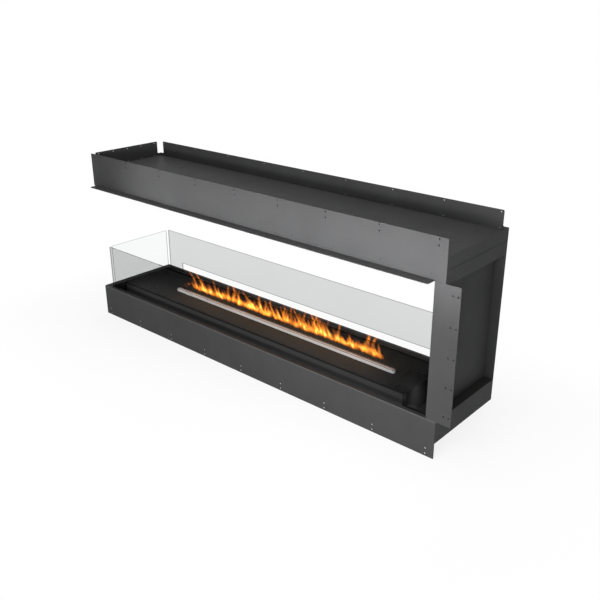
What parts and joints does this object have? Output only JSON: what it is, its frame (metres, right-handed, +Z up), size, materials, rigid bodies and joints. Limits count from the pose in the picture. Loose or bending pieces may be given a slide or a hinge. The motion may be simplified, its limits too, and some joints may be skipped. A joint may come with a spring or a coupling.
{
  "type": "built-in fireplace",
  "caption": "Long three-sided fireplace insert with a linear liquid-fuel burner, low glass panes, hooded top, closed right end and drilled wall flanges.",
  "frame": {"origin": "centre of the base tray's underside, on the plane that the plinth meets", "axes": "+X along the length towards the closed end, +Y from the front face with its lip to the rear face, +Z up"},
  "size_m": [1.545, 0.35, 0.632],
  "materials": {
    "grey_paint": "fine-textured dark grey powder coat, satin",
    "black_steel": "heat-proof black coat, satin",
    "stainless": "brushed stainless steel",
    "copper": "copper-coloured metal, brushed",
    "zinc_steel": "zinc-plated steel, dull",
    "clear_glass": "clear tempered glass with ground edges",
    "mineral_board": "pressed mineral board and ceramic, matt",
    "black_plastic": "moulded black plastic, matt",
    "rubber": "black silicone rubber",
    "circuit_board": "green laminate with moulded components",
    "amber_lens": "tinted lens"
  },
  "bodies": {
    "casing": {"front_fascia": "grey_paint", "rear_hood_panel": "grey_paint", "left_hood_panel": "grey_paint", "right_hood_panel": "grey_paint", "top_plate": "grey_paint", "end_wall": "grey_paint", "base_tray": "grey_paint", "lower_front_panel": "grey_paint", "ceiling_plate": "black_steel", "burner_housing": "black_steel", "burner_top_plate": "black_steel", "service_bay_plate": "black_steel", "lid_hinge_leaf": "black_steel", "front_glass_rail": "stainless", "rear_glass_rail": "stainless", "left_glass_rail": "stainless", "slot_frame": "stainless", "fuel_trough": "stainless", "fuel_tank": "stainless", "filler_neck": "stainless", "lid_hinge_pin": "stainless", "burner_bar": "copper", "pump_inlet_pipe": "copper", "fuel_feed_pipe": "copper", "hood_brace_1": "zinc_steel", "hood_brace_2": "zinc_steel", "hood_brace_3": "zinc_steel", "trough_support_1": "zinc_steel", "trough_support_2": "zinc_steel", "trough_support_3": "zinc_steel", "fuel_pump": "zinc_steel", "control_panel": "zinc_steel", "cable_duct": "zinc_steel", "insulation_board": "mineral_board", "igniter": "mineral_board", "level_sensor": "black_plastic", "fan_frame": "black_plastic", "board_standoff_1": "black_plastic", "board_standoff_2": "black_plastic", "board_standoff_3": "black_plastic", "board_standoff_4": "black_plastic", "flame_sensor": "black_plastic", "mains_inlet": "black_plastic", "burner_foot_1": "rubber", "burner_foot_2": "rubber", "burner_foot_3": "rubber", "burner_foot_4": "rubber", "cable_grommet": "rubber", "control_board": "circuit_board", "level_lamp": "amber_lens"},
    "front_pane": {"front_glass": "clear_glass"},
    "rear_pane": {"rear_glass": "clear_glass"},
    "left_pane": {"left_glass": "clear_glass"},
    "lid": {"service_lid": "black_steel"},
    "cap": {"filler_cap": "black_plastic"},
    "button": {"power_button": "black_plastic"},
    "rotor": {"fan_rotor": "black_plastic"},
    "float": {"level_float": "black_plastic"}
  },
  "joints": [
    {"name": "front_glass_lift", "type": "slide", "parent": "casing", "child": "front_pane", "axis": [0, 0, 1], "range_m": [0, 0.23]},
    {"name": "rear_glass_lift", "type": "slide", "parent": "casing", "child": "rear_pane", "axis": [0, 0, 1], "range_m": [0, 0.23]},
    {"name": "left_glass_lift", "type": "slide", "parent": "casing", "child": "left_pane", "axis": [0, 0, 1], "range_m": [0, 0.23]},
    {"name": "service_lid_hinge", "type": "hinge", "parent": "casing", "child": "lid", "pos_m": [0.5755, 0.03166, 0.0815], "axis": [-1, 0, 0], "range_deg": [0, 100]},
    {"name": "filler_cap_turn", "type": "hinge", "parent": "casing", "child": "cap", "pos_m": [0.5755, -0.00884, 0.064], "axis": [0, 0, 1], "range_deg": [0, 90]},
    {"name": "power_button_press", "type": "slide", "parent": "casing", "child": "button", "axis": [0, 0, -1], "range_m": [0, 0.0025], "stiffness_N_per_m": 300, "springref_m": -0.001},
    {"name": "fan_spin", "type": "hinge", "parent": "casing", "child": "rotor", "pos_m": [-0.63, 0.0815, 0.0398], "axis": [0, 1, 0], "continuous": true},
    {"name": "level_float_rise", "type": "slide", "parent": "casing", "child": "float", "axis": [0, 0, 1], "range_m": [0, 0.035]}
  ]
}
